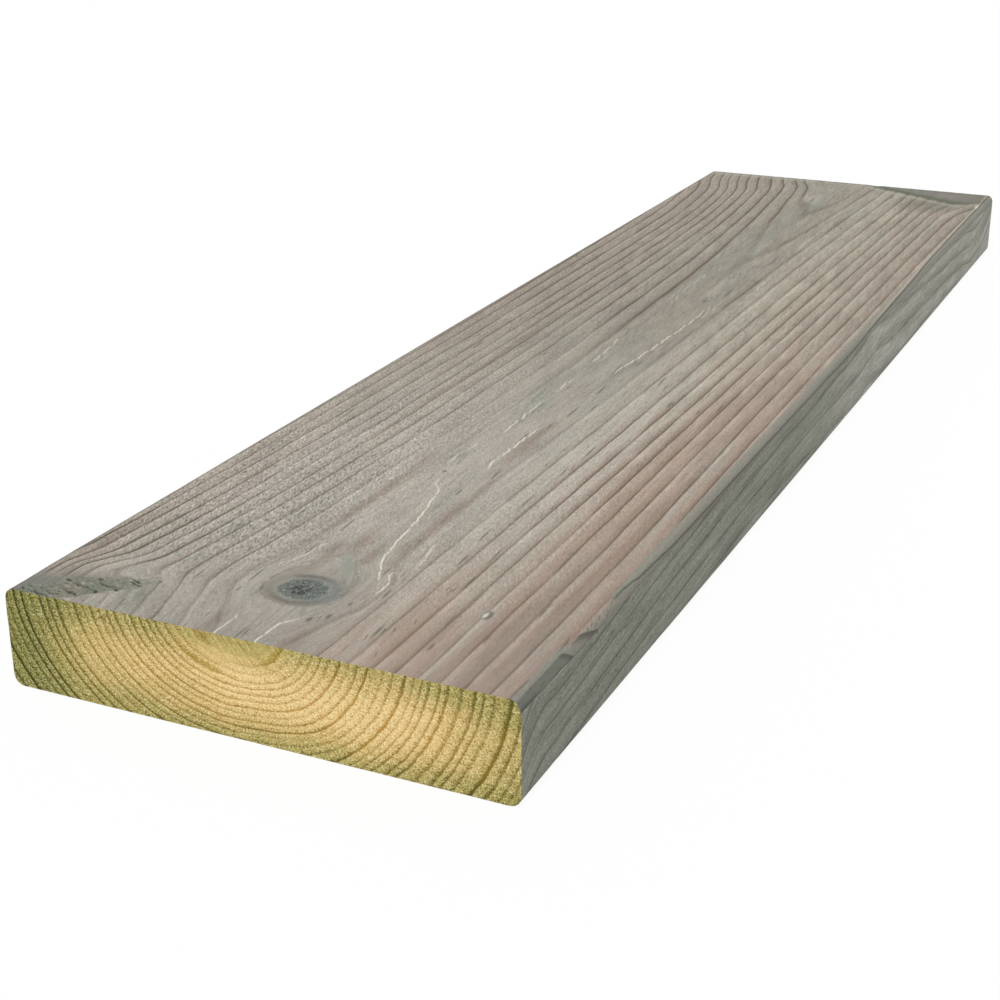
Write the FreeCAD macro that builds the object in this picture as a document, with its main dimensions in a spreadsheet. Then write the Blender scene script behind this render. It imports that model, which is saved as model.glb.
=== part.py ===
import FreeCAD, Part
import os

import Sketcher
from FreeCAD import Rotation, Vector

# Softwood decking board, planed all round with rounded arrises and cut to a short length.
# +X runs along the board from the near sawn end, +Y across it, +Z up.
# The origin is on the underside, at the middle of the length and of the width.

# name, millimetres or degrees, what it is
sizes = [
    ("length", 560, "from sawn end to sawn end"),
    ("width", 145, "planed width"),
    ("thickness", 28, "planed thickness"),
    ("arris_radius", 3, "round on each of the four long edges"),
    ("tear_facing", 62, "which way the torn flats face, turned from straight up to the right"),
    ("strip_depth", 0.4, "torn strip, below the round"),
    ("strip_length", 28, "torn strip, measured from the near end"),
    ("chip_depth", 0.3, "chip past the strip, below the round at its deep end"),
    ("chip_start", 31, "deep end of the chip, measured from the near end"),
    ("chip_length", 15, "from the deep end to where the chip runs out"),
    ("cut_clearance", 1, "how far a cutting outline stands clear of the board"),
]

doc = FreeCAD.newDocument("decking_board")
sheet = doc.addObject("Spreadsheet::Sheet", "sizes")
for row, (name, value, meaning) in enumerate(sizes, start=1):
    sheet.set(f"A{row}", name)
    sheet.set(f"B{row}", str(value))
    sheet.set(f"C{row}", meaning)
    sheet.setAlias(f"B{row}", name)
doc.recompute()


def sketch_on(body, plane_role, name):
    """An empty sketch on one of the body's own origin planes."""
    sketch = body.newObject("Sketcher::SketchObject", name)
    plane = next(f for f in body.Origin.OriginFeatures if f.Role == plane_role)
    sketch.AttachmentSupport = [(plane, "")]
    sketch.MapMode = "FlatFace"
    return sketch


def closed_outline(sketch, corners):
    """Straight lines round the corners. Each corner has a name and a formula for x and for y."""
    count = len(corners)
    spread = float(sheet.thickness)
    rough = [Vector(spread * (i in (1, 2)), spread * (i > 1), 0) for i in range(count)]
    for i in range(count):
        sketch.addGeometry(Part.LineSegment(rough[i], rough[(i + 1) % count]))
    for i in range(count):
        sketch.addConstraint(Sketcher.Constraint("Coincident", i, 2, (i + 1) % count, 1))
    for i, (name, x_formula, y_formula) in enumerate(corners):
        for axis, formula in (("X", x_formula), ("Y", y_formula)):
            index = sketch.addConstraint(
                Sketcher.Constraint("Distance" + axis, -1, 1, i, 1, spread))
            sketch.renameConstraint(index, f"{name}_{axis.lower()}")
            sketch.setExpression(f"Constraints.{name}_{axis.lower()}", formula)


def planed_stock(body):
    """The section padded to the length, then its four long edges rounded."""
    section = sketch_on(body, "YZ_Plane", "section")
    closed_outline(section, [
        ("low_right", "-sizes.width / 2", "0"),
        ("low_left", "sizes.width / 2", "0"),
        ("high_left", "sizes.width / 2", "sizes.thickness"),
        ("high_right", "-sizes.width / 2", "sizes.thickness"),
    ])
    stock = body.newObject("PartDesign::Pad", "stock")
    stock.Profile = section
    stock.SideType = "Symmetric"
    stock.setExpression("Length", "sizes.length")
    doc.recompute()

    long_edges = [
        f"Edge{i}" for i, edge in enumerate(stock.Shape.Edges, start=1)
        if edge.BoundBox.XLength > 0
    ]
    arrises = body.newObject("PartDesign::Fillet", "arrises")
    arrises.Base = (stock, long_edges)
    arrises.setExpression("Radius", "sizes.arris_radius")
    doc.recompute()


def arris_cut(body, name, start, start_depth, end, end_depth):
    """A flat torn off the near right arris.

    It is drawn looking along the flat, with the middle of the round as origin: x is along the
    board and y points out of it, the way the flat faces."""
    outline = sketch_on(body, "XZ_Plane", name + "_outline")
    outline.setExpression("AttachmentOffset.Base.y", "sizes.thickness - sizes.arris_radius")
    outline.setExpression("AttachmentOffset.Base.z", "sizes.width / 2 - sizes.arris_radius")
    outline.AttachmentOffset.Rotation = Rotation(Vector(1, 0, 0), 0)
    outline.setExpression("AttachmentOffset.Rotation.Angle", "sizes.tear_facing")
    clear_of_board = "sizes.arris_radius + sizes.cut_clearance"
    closed_outline(outline, [
        ("start_in", start, f"sizes.arris_radius - {start_depth}"),
        ("end_in", end, f"sizes.arris_radius - {end_depth}"),
        ("end_out", end, clear_of_board),
        ("start_out", start, clear_of_board),
    ])
    doc.recompute()

    volume_before = body.Shape.Volume
    cut = body.newObject("PartDesign::Pocket", name)
    cut.Profile = outline
    cut.Type = "ThroughAll"
    cut.SideType = "Symmetric"
    doc.recompute()
    removed = volume_before - body.Shape.Volume
    print(f"{name}: {removed:.2f} mm3 removed")
    if removed <= 0:
        raise RuntimeError(f"{name} cuts nothing")


def torn_arris(body):
    """The strip torn off the arris from the near end, and the chip that runs out past it."""
    near_end = "-sizes.length / 2"
    arris_cut(body, "torn_strip",
              f"{near_end} - sizes.cut_clearance", "sizes.strip_depth",
              f"{near_end} + sizes.strip_length", "sizes.strip_depth")
    arris_cut(body, "chip",
              f"{near_end} + sizes.chip_start", "sizes.chip_depth",
              f"{near_end} + sizes.chip_start + sizes.chip_length", "0")


def decking_board():
    body = doc.addObject("PartDesign::Body", "board")
    body.Label = "board"
    body.Placement = FreeCAD.Placement()
    planed_stock(body)
    torn_arris(body)
    return body


parts = [decking_board()]
doc.recompute()

for item in doc.Objects:
    if "Invalid" in item.State or "Error" in item.State:
        raise RuntimeError(f"{item.Label} failed: {item.State}")
for part in parts:
    if part.Shape.isNull() or not part.Shape.isValid() or len(part.Shape.Solids) != 1:
        raise RuntimeError(f"{part.Label} is not one sound solid")

os.makedirs("parts", exist_ok=True)
for part in parts:
    box = part.Shape.BoundBox
    print(f"{part.Label}: {box.XLength:.2f} x {box.YLength:.2f} x {box.ZLength:.2f} mm, "
          f"{part.Shape.Volume / 1000:.1f} cm3")
    part.Shape.exportStep(os.path.join("parts", part.Label + ".step"))
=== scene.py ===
import math

import bpy
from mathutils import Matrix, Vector


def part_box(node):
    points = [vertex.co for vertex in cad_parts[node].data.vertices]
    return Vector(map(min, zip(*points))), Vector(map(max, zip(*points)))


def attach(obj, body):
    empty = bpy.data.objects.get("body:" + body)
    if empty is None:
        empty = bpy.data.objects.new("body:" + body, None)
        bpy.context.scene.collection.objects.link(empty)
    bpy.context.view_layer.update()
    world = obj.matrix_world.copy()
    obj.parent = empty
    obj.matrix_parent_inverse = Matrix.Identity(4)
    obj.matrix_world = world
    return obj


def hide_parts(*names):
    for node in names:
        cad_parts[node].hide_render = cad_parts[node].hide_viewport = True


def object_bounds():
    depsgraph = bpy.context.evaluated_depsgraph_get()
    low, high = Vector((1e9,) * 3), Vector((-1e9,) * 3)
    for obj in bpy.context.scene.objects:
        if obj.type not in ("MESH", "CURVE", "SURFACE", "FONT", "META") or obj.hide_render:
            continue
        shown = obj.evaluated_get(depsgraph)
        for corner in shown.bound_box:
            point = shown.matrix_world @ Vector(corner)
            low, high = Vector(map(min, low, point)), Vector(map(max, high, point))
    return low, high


# A softwood decking board lying flat, seen from above its near sawn end.
# x is measured from the near end, y from the middle of the width (the left side is +) and z from
# the underside. The trees work in millimetres, Blender in metres.

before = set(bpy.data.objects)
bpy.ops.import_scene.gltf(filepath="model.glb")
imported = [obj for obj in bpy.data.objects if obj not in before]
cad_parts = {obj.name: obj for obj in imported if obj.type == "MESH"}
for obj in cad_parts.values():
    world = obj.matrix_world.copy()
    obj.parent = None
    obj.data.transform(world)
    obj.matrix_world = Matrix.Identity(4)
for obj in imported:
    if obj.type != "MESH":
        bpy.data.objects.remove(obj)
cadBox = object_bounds()
mm = 0.001
nearEnd = cadBox[0].x / mm
print("frame loaded")


class Wire:
    # one socket, so that maths on it is written as plain Python

    def __init__(self, tree, socket):
        self.tree, self.socket = tree, socket

    def __add__(self, other): return self.tree.maths("ADD", self, other)
    def __radd__(self, other): return self.tree.maths("ADD", other, self)
    def __sub__(self, other): return self.tree.maths("SUBTRACT", self, other)
    def __rsub__(self, other): return self.tree.maths("SUBTRACT", other, self)
    def __mul__(self, other): return self.tree.maths("MULTIPLY", self, other)
    def __rmul__(self, other): return self.tree.maths("MULTIPLY", other, self)
    def __truediv__(self, other): return self.tree.maths("DIVIDE", self, other)
    def __rtruediv__(self, other): return self.tree.maths("DIVIDE", other, self)
    def __pow__(self, other): return self.tree.maths("POWER", self, other)
    def __neg__(self): return self.tree.maths("MULTIPLY", self, -1)
    def __abs__(self): return self.tree.maths("ABSOLUTE", self)


class Tree:
    def __init__(self, nodeTree):
        self.nodeTree = nodeTree

    # a node from its type, its settings, which are set first, and its inputs' values or wires
    def node(self, kind, settings=None, inputs=None, output=0):
        made = self.nodeTree.nodes.new(kind)
        for name, value in (settings or {}).items():
            if name == "curvePoints":
                fillCurve(made.mapping, value)
            else:
                setattr(made, name, value)
        for name, value in (inputs or {}).items():
            if isinstance(value, Wire):
                self.nodeTree.links.new(value.socket, made.inputs[name])
            else:
                made.inputs[name].default_value = value
        return Wire(self, made.outputs[output])

    def maths(self, operation, *values):
        return self.node("ShaderNodeMath", {"operation": operation}, dict(enumerate(values)))

    def point(self, x, y, z=0.0):
        return self.node("ShaderNodeCombineXYZ", None, {"X": x, "Y": y, "Z": z})

    def noise(self, x, y, z=0.0, detail=2.0, roughness=0.5):
        return self.node("ShaderNodeTexNoise", {"noise_dimensions": "3D"}, {
            "Vector": self.point(x, y, z), "Scale": 1.0, "Detail": detail, "Roughness": roughness})

    def mottle(self, at, size, seed, detail=2, roughness=0.5, turn=0.0):
        # noise round 0 at a point; size is its grain along and across, turn slants it
        along, across = size
        if turn:
            at = self.node("ShaderNodeMapping", None, {"Vector": at, "Rotation": (0, 0, turn)})
        at = self.node("ShaderNodeMapping", None, {
            "Vector": at, "Location": (0, 0, seed), "Scale": (1 / along, 1 / across, 0)})
        return self.node("ShaderNodeTexNoise", {"noise_dimensions": "3D"}, {
            "Vector": at, "Scale": 1.0, "Detail": detail, "Roughness": roughness}) - 0.5


def fillCurve(mapping, points):
    curve = mapping.curves[0]
    curve.points[0].location = points[0]
    curve.points[1].location = points[-1]
    for place in points[1:-1]:
        curve.points.new(*place)
    for point in curve.points:
        point.handle_type = "AUTO_CLAMPED"
    mapping.extend = "HORIZONTAL"
    mapping.update()


def follow(value, points):
    # a smooth curve through a few given (value, result) points
    low, high = points[0][0], points[-1][0]
    results = [result for place, result in points]
    least, span = min(results), (max(results) - min(results)) or 1
    scaled = [((place - low) / (high - low), (result - least) / span) for place, result in points]
    share = value.tree.node("ShaderNodeMapRange", None, {
        "Value": value, "From Min": low, "From Max": high})
    return value.tree.node("ShaderNodeFloatCurve", {"curvePoints": scaled}, {
        "Value": share}) * span + least


def smooth(value, start, end):
    # 0 at start, 1 at end, eased; start may be the larger
    return value.tree.node("ShaderNodeMapRange", {"interpolation_type": "SMOOTHSTEP"}, {
        "Value": value, "From Min": start, "From Max": end})


def hump(value, start, top, end):
    return smooth(value, start, top) * smooth(value, end, top)


def maths(operation, *values):
    tree = next(value.tree for value in values if isinstance(value, Wire))
    return tree.maths(operation, *values)


def lesser(a, b): return maths("MINIMUM", a, b)
def greater(a, b): return maths("MAXIMUM", a, b)
def root(a): return maths("SQRT", a)
def fraction(a): return maths("FRACT", a)
def whole(a): return maths("ROUND", a)
def above(a, b): return maths("GREATER_THAN", a, b)
def blend(a, b, share): return a + (b - a) * share


def vectors(operation, *values, output=0):
    tree = next(value.tree for value in values if isinstance(value, Wire))
    return tree.node("ShaderNodeVectorMath", {"operation": operation},
                     dict(enumerate(values)), output)


def patch(at, middle, reach, core=0.3):
    # 1 in the core of a soft ellipse and 0 past its edge; at is a point, not a number
    off = vectors("DIVIDE", vectors("SUBTRACT", at, (*middle, 0)), (*reach, 1))
    return smooth(vectors("LENGTH", off, output=1), 1, core)


def patches(at, places, core=0.3):
    # the strongest of several patches, each given as x, y, reach in x, reach in y
    found = None
    for px, py, reachX, reachY in places:
        one = patch(at, (px, py), (reachX, reachY), core)
        found = one if found is None else greater(found, one)
    return found


# How the wood has grown, as its faces show it.
wood = {
    "middleOfRings": -1.2,          # y that the ring lines of the walking face open from
    "middleLean": 0.016,
    # distance from the pith to the walking face, squared, along the board
    "pithBelow": [(0, 395), (60, 390), (140, 360), (200, 328), (280, 300), (350, 268), (395, 240),
                  (430, 200), (460, 160), (488, 125), (530, 65), (560, 25)],
    # where a dark ring line lies: distance from the pith, number of the line
    "ringLines": [(0, -1), (5, 0), (11.2, 1), (15.5, 2), (21.7, 3), (27.2, 4), (33.3, 5),
                  (38.6, 6), (43.4, 7), (48.1, 8), (52.6, 9), (57.5, 10), (63.1, 11),
                  (68.5, 12), (72.9, 13), (80, 14.4)],
    # how far the knots push the lines aside, along the board
    "knotPushLeft": [(0, 1.7), (5, 2.7), (10, 4.4), (17, 6), (22.5, 7.9), (30, 9.3), (36, 9.2),
                     (40, 8.9), (50, 7.5), (60, 6.6), (80, 5), (120, 3.1), (160, 1.5), (200, 0.8),
                     (250, 0)],
    "knotPushShare": [(1, 0), (5, 0.35), (14, 1.3), (18, 1.35), (26, 1.08), (34, 1), (50, 0.9),
                      (60, 0.8), (64, 0.7), (69, 0.55)],
    "knotPushRight": [(0, 0), (10, 2), (20, 4.5), (30, 7.2), (40, 7.5), (50, 4), (60, 1.5),
                      (80, 0.5), (100, 0)],
    "spikePush": [(0, 12), (10, 12), (15, 11.6), (20, 10.1), (24, 6.8), (28, 3.5), (32, 0.9),
                  (36, 0)],
    "spikeShare": [(30, 0), (37, 0.3), (43, 0.77), (50.4, 1), (54.5, 0.97), (57.6, 0.68),
                   (61.5, 0.48), (66, 0.4)],
    "farPushInner": [(380, 0), (420, 1.1), (460, 2.3), (500, 4.4), (520, 5.6), (540, 7.5),
                     (552, 11.2), (560, 13)],
    "farPushOuter": [(430, 0), (460, 0.4), (500, 2.8), (520, 5), (540, 10), (552, 12.3),
                     (560, 13.5)],
    "outerPushRight": [(0, 3), (60, 3), (160, 1.3), (260, 0), (330, -0.3), (400, -0.8),
                       (460, -1.1), (500, -1), (512, 0.2), (520, 2), (526, 4), (533, 6),
                       (560, 9)],
    # on the right side: height of the lowest long line, and the gap to the next line above it
    "sideLine": [(0, -8), (8, -2.5), (20, 1), (40, 3.5), (60, 5.5), (80, 7), (120, 9.2), (170, 11.8),
                 (200, 12.4), (300, 12.8), (325, 14.5), (350, 12.5), (430, 11), (470, 9.8),
                 (500, 8), (520, 6), (530, 6.5), (540, 8), (550, 11), (560, 14.5)],
    "sideGap": [(0, 6.6), (10, 6.9), (20, 6.3), (50, 6), (80, 6.5), (200, 7.5), (290, 9.6), (340, 10.6), (420, 8.3),
                (470, 7.4), (560, 7.6)],
}


def walkingGrain(x, y):
    # the ring number of a place on the walking face, and its y with the bends taken out
    flow = y - follow(x, wood["knotPushLeft"]) * follow(y, wood["knotPushShare"])
    pushed = follow(x, wood["spikePush"])
    beyond = greater(smooth(y - follow(x, spike["low"]), -1.5, 2.5), smooth(x, 17, 22))
    flow -= pushed * follow(y - pushed * 0.8, wood["spikeShare"]) * beyond
    farPush = blend(follow(x, wood["farPushInner"]), follow(x, wood["farPushOuter"]),
                    smooth(y, 20, 50))
    flow -= farPush * smooth(y, 2, 10)
    flow += follow(x, wood["knotPushRight"]) * smooth(-y, 2, 6) * smooth(-y, 20.5, 17.5)
    flow += follow(x, wood["outerPushRight"]) * smooth(-y, 38, 68)
    away = flow - wood["middleOfRings"] + abs(flow) * wood["middleLean"]
    reach = root(away * away + follow(x, wood["pithBelow"]))
    return follow(reach, wood["ringLines"]), flow


def sideGrain(x, z):
    return (z - follow(x, wood["sideLine"])) / follow(x, wood["sideGap"])


def undersideGrain(x, y):
    away = y - wood["middleOfRings"]
    depth = root(follow(x, wood["pithBelow"])) + 28
    return follow(root(away * away + depth * depth), [(0, 0), (30, 5), (60, 11), (90, 16.5)])


knot = {
    "x": 30.6, "y": 2.2,
    "narrow": 0.88,                 # its width along the board, as a share of the width across
    "core": 6.5,                    # radius of the dark heart
    # outline of the teardrop round it, left of the middle and right of it
    "outlineLeft": [(20.5, 2), (21.5, 6), (23.5, 9.8), (27, 12.3), (30.5, 13.5), (34, 13.2),
                    (40, 11.5), (45, 8), (49, 6.2), (53, 4.3), (57, 2)],
    "outlineRight": [(20.5, 2), (22, -2), (24.5, -6), (28, -8), (33, -8.6), (40, -8.3), (44, -6),
                     (47, -3.6), (52, -1), (57, 2)],
}


def knotReach(x, y):
    dx, dy = (x - knot["x"]) / knot["narrow"], y - knot["y"]
    return root(dx * dx + dy * dy)


def insideTeardrop(x, y):
    # distance in from the outline, about; the second number is 0 away from the knot
    window = smooth(x, 19, 21.5) * smooth(x, 58.5, 55)
    return lesser(follow(x, knot["outlineLeft"]) - y, y - follow(x, knot["outlineRight"])), window


# The near left corner, where the cutter has torn the grain of a spike knot.
spike = {
    # strokes torn by the cutter: x and y of the middle, half width and half length
    "tears": [(0.9, 62.5, 0.55, 4.6), (2.3, 59.5, 0.5, 2.6), (4.7, 55.0, 0.75, 4.0),
              (6.4, 58.6, 0.5, 2.4), (9.0, 54.6, 0.75, 5.0), (10.6, 60.0, 0.8, 1.6),
              (7.6, 49.6, 1.0, 1.1), (12.1, 49.0, 0.7, 5.2), (10.7, 45.4, 0.9, 1.0),
              (14.2, 52.6, 0.6, 1.7), (15.4, 42.6, 0.65, 3.0), (16.9, 43.6, 0.6, 2.2),
              (19.2, 37.7, 0.7, 0.9)],
    "lean": 0.24,
    "low": [(0, 56), (4, 51.5), (8, 47.5), (11, 44), (14, 40), (20, 37)],
    "high": [(0, 72), (4, 68), (8, 62), (12, 60), (15, 54), (18, 46), (20, 39)],
}


def spikeTears(x, y):
    rough = x.tree.noise(x / 0.9, y / 1.4, 4.4, 3, 0.65) - 0.5
    slant = x.tree.point(x - (y - 50) * spike["lean"] + rough * 2.6, y + rough * 2)
    places = [(px - (py - 50) * spike["lean"], py, reachX * 0.95, reachY)
              for px, py, reachX, reachY in spike["tears"]]
    return patches(slant, places, 0.2)


def spikeHaze(x, y):
    # the green haze that the strokes lie in
    inner = lesser(y - follow(x, spike["low"]), follow(x, spike["high"]) - y)
    return smooth(inner, -1.5, 2.5) * smooth(x, 21, 17)


def spikeArea(x, y):
    return smooth(y - follow(x, spike["low"]), -0.5, 1.5) * smooth(x + abs(y - 56) * 0.3, 22, 11)


# The far right corner, where the lines run into the side of another knot.
collar = {
    "edge": [(-76, 549), (-70, 544), (-66, 540.5), (-60, 537.5), (-52, 540), (-42, 545),
             (-30, 550.5), (-18, 557), (-10, 563)],
}


def pastCollar(x, y):
    return x - follow(y, collar["edge"])


# Fibres that have lifted off the walking face: y along the board, and how strongly.
fibres = [
    {"y": [(0, -2.5), (9, -2.5), (14, -4.5), (20, -10), (27, -14), (35, -15), (44, -12),
           (48, -10.5), (52, -8.7), (58, -6.7), (66, -5.5), (72, -4.7), (82, -3.6), (95, -1),
           (106, 1.5), (115, 5.5), (125, -4.5), (130, -3.7), (163, -4.2), (168, -5), (225, -5.5),
           (246, -6.8), (270, -8), (290, -9), (318, -9.2), (327, -18.5), (340, -17.8), (345, -19),
           (355, -17.8), (373, -18), (420, -14.8), (455, -15.5), (500, -17)],
     "lift": [(0, 0.8), (12, 0.9), (15, 0.2), (38, 0.1), (43, 0.3), (48, 0.9), (78, 1), (100, 0.8),
              (112, 0.6), (117, 0), (123, 0), (128, 0.9), (160, 0.9), (169, 0), (224, 0),
              (229, 0.7), (290, 0.8), (318, 0.5), (321, 0), (326, 0.6), (344, 0.5), (350, 1),
              (365, 0.9), (374, 0), (418, 0), (424, 0.8), (455, 0.7), (500, 0)]},
    {"y": [(0, 9), (8, 9), (12, 10), (41, 15.8), (44, 14.8), (50, 12.8), (56, 12), (62, 11.4),
           (126, 8.7), (134, 8.4), (145, 7.3), (156, 4.5), (185, 5), (213, 5), (235, 6), (255, 7),
           (264, 7.8), (316, 6.5), (330, 7.5), (340, 8), (362, 7.5), (420, 7)],
     "lift": [(0, 0.7), (9, 0.7), (13, 0), (39, 0), (43, 0.6), (56, 0.7), (63, 0), (125, 0),
              (129, 0.6), (143, 0.6), (147, 0), (155, 0), (160, 0.8), (186, 0.6), (194, 0),
              (199, 0), (203, 0.8), (213, 0.6), (216, 0), (234, 0), (238, 0.6), (262, 0.6),
              (266, 0), (314, 0), (319, 0.6), (331, 0.2), (340, 0.6), (357, 0.7), (364, 0)]},
    {"y": [(0, -16), (33, -16), (41, -16.3), (44, -15.2), (49, -13.8), (56, -17.8), (62, -16.7),
           (70, -15.6), (200, 12), (300, -11), (330, -11), (440, -12), (500, -10)],
     "lift": [(0, 0), (33, 0), (37, 0.7), (47, 0.8), (51, 0), (55, 0), (58, 0.7), (68, 0.6),
              (72, 0), (296, 0), (302, 0.5), (325, 0.4), (331, 0), (500, 0)]},
]


def liftedFibres(x, y):
    # height of the lifted fibres, 1 on a strong one; each is made of short slanting strands
    strand = fraction(x / 11 + x.tree.noise(x / 12, 3.1, 0.4, 1) * 1.5)
    stagger = smooth(x, 90, 150) * 0.5 + 0.2
    wander = (strand - 0.5) * stagger + (x.tree.noise(x / 2.6, 1.7, 8.1, 2) - 0.5) * 1.6
    wholeness = smooth(strand, 0, 0.2) * smooth(strand, 1, 0.8)
    wholeness = blend(smooth(x.tree.noise(x / 3.3, y / 2, 1.9, 2), 0.3, 0.52), wholeness, stagger)
    found = None
    for fibre in fibres:
        off = abs(y - follow(x, fibre["y"]) - wander)
        one = smooth(off, 0.5, 0.08) * follow(x, fibre["lift"])
        found = one if found is None else greater(found, one)
    return found * wholeness * (1 - smooth(x, 280, 340) * 0.55)


# The arris torn off beside the near right corner; depths are below the round.
tear = {
    "facing": 62,                   # degrees from straight up towards the right
    "stripDepth": 0.4, "stripLength": 28,
    "chipDepth": 0.3, "chipStart": 31, "chipLength": 15,
}

boardSkin = {
    "Cells along": 160, "Cells across": 210, "Cells up": 28, "Cells in a round": 4,
    "Arris radius": 3.0,
    "Nearness": 0.35,               # length of a cell at the near end, as a share of the mean
    "Line relief": 0.08,            # depth of the dip at a ring line
    "Wave": 0.12,                   # unevenness of the weathered faces
    "Saw marks": 0.06,
    "Seed": 3.0,
}


def linePhase(ring, flow, x, leftFace):
    # where a place lies between two ring lines: 0 on one, rising to just under 1 at the next
    side = above(flow, wood["middleOfRings"]) * 2 - 1
    turned = ring * blend(1, side, leftFace)
    wander = (x.tree.noise(x / 22, flow / 5, 2.3, 2) - 0.5) * 0.16
    turned = turned + wander
    return fraction(turned + 0.04) - 0.04, whole(turned)


def buildSkinTree():
    group = bpy.data.node_groups.new("boardSkin", "GeometryNodeTree")
    sizes = {"Length": 0.0, "Width": 0.0, "Thickness": 0.0, **boardSkin}
    group.interface.new_socket(name="Geometry", in_out="OUTPUT", socket_type="NodeSocketGeometry")
    for name, value in sizes.items():
        kind = "NodeSocketInt" if isinstance(value, int) else "NodeSocketFloat"
        group.interface.new_socket(name=name, in_out="INPUT", socket_type=kind)
    for name in ("Faces", "Ends"):
        group.interface.new_socket(name=name, in_out="INPUT", socket_type="NodeSocketMaterial")
    tree = Tree(group)
    inputs = group.nodes.new("NodeGroupInput")
    given = {socket.name: Wire(tree, socket) for socket in inputs.outputs if socket.name}
    seed = given["Seed"]

    block = tree.node("GeometryNodeMeshCube", None, {
        "Size": (2, 2, 2), "Vertices X": given["Cells along"] + 1,
        "Vertices Y": given["Cells across"] + 1, "Vertices Z": given["Cells up"] + 1})
    place = tree.node("GeometryNodeInputPosition")
    a, b, c = (tree.node("ShaderNodeSeparateXYZ", None, {0: place}, i) for i in range(3))

    # cells are shorter towards the near end and even across each flat and each round
    a = (a + 1) / 2
    x = given["Length"] * (a * given["Nearness"] + a * a * (1 - given["Nearness"]))
    radius = given["Arris radius"]

    def spread(share, half, cells):
        inner = half - radius
        rounds = given["Cells in a round"] * 2 / cells
        size = abs(share)
        flat = lesser(size / (1 - rounds), 1) * inner
        return flat, greater((size - 1 + rounds) / rounds, 0) * radius

    flatY, roundY = spread(b, given["Width"] / 2, given["Cells across"])
    flatZ, roundZ = spread(c, given["Thickness"] / 2, given["Cells up"])
    signY, signZ = above(b, 0) * 2 - 1, above(c, 0) * 2 - 1
    out = root(roundY * roundY + roundZ * roundZ)
    pull = greater(roundY, roundZ) / greater(out, 0.0001)
    roundY, roundZ = roundY * pull, roundZ * pull
    out = root(roundY * roundY + roundZ * roundZ)
    y = signY * (flatY + roundY)
    z = signZ * (flatZ + roundZ) + given["Thickness"] / 2
    normalY, normalZ = signY * roundY / radius, signZ * roundZ / radius
    onSkin = above(out, radius * 0.98)

    # fields that both the relief and the materials follow
    topEdge = given["Thickness"] - radius
    arc = tree.maths("ARCTAN2", roundY, greater(z - topEdge, 0.0001)) * radius
    isTop = smooth(z, topEdge - 0.1, topEdge + 0.1)
    across = signY * (flatY + arc)
    topRing, topFlow = walkingGrain(x, across)
    sideX = blend(given["Length"] * 0.97 - x * 0.94, x, above(0, y))
    sideRing = sideGrain(sideX, z)
    underRing = undersideGrain(x, y)
    isUnder = smooth(z, radius * 0.35, radius * 0.15)

    # relief of the walking face
    phase, line = linePhase(topRing, topFlow, x, 1)
    dip = smooth(phase, 0.3, 0) * smooth(phase, -0.04, 0.01)
    sharpness = smooth(abs(topFlow), 4, 22)
    reach = knotReach(x, across)
    past = pastCollar(x, across)
    wave = tree.noise(x / 45, topFlow / 9, seed, 2) - 0.5
    relief = 0.1 + dip * sharpness * given["Line relief"] + wave * given["Wave"]
    relief += smooth(reach, 9, 4) * 0.12 - hump(reach, 6, 9, 12) * 0.05
    relief += spikeTears(x, across) * 0.5 + spikeArea(x, across) * 0.08
    relief += hump(past, -3, 0.5, 3.5) * 0.25 - hump(past, -11, -6, -3) * 0.08
    relief = relief - liftedFibres(x, across) * 0.1

    # relief of the other long faces
    sidePhase = fraction(sideRing + 0.04) - 0.04
    plain = 0.06 + (tree.noise(x / 40, z / 6 + across / 9, seed + 5, 2) - 0.5) * given["Wave"]
    sideDip = smooth(sidePhase, 0.25, 0) * smooth(sidePhase, -0.04, 0.01)
    plain += sideDip * given["Line relief"] * 0.5 * (1 - isUnder)
    relief = greater(blend(plain, relief, isTop), 0) * onSkin
    y = y - normalY * relief
    z = z - normalZ * relief

    # the torn arris: whatever stands out past each flat is brought back to it
    facingY, facingZ = -math.sin(math.radians(tear["facing"])), math.cos(math.radians(tear["facing"]))
    standing = (y + given["Width"] / 2 - radius) * facingY + (z - topEdge) * facingZ
    rough = tree.noise(x / 3.5, y / 1.2, z / 1.2 + seed, 3, 0.6) - 0.5
    strip = smooth(x + arc * 0.5, tear["stripLength"] + 2.2, tear["stripLength"] - 0.6)
    past = (x - tear["chipStart"]) / tear["chipLength"]
    chip = above(past, 0) * greater(1 - past, 0)
    limit = radius - tear["stripDepth"] * strip - chip * tear["chipDepth"]
    cutting = greater(strip, above(chip, 0.02))
    limit = limit - cutting * (rough * 0.25 + 0.1)
    back = greater(standing - limit, 0) * cutting * above(0, y)
    y = y - back * facingY
    z = z - back * facingZ

    # the sawn ends: fine marks of the blade
    isEnd = 1 - smooth(a, 0, 0.0005) + smooth(a, 0.9995, 1)
    marks = tree.noise(y / 2.5, z / 2.5, seed + 11, 4, 0.7) * given["Saw marks"]
    inward = blend(1, -1, above(a, 0.5))
    x = x + isEnd * marks * inward * smooth(out, radius, radius * 0.6)

    shaped = block
    for name, value in (("topRing", topRing), ("topFlow", topFlow), ("across", across),
                        ("sideRing", sideRing), ("underRing", underRing)):
        shaped = tree.node("GeometryNodeStoreNamedAttribute", {
            "data_type": "FLOAT", "domain": "POINT"}, {
            "Geometry": shaped, "Name": name, "Value": value})
    shaped = tree.node("GeometryNodeSetPosition", None, {
        "Geometry": shaped,
        "Position": tree.point((x + nearEnd) * mm, y * mm, z * mm)})

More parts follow.
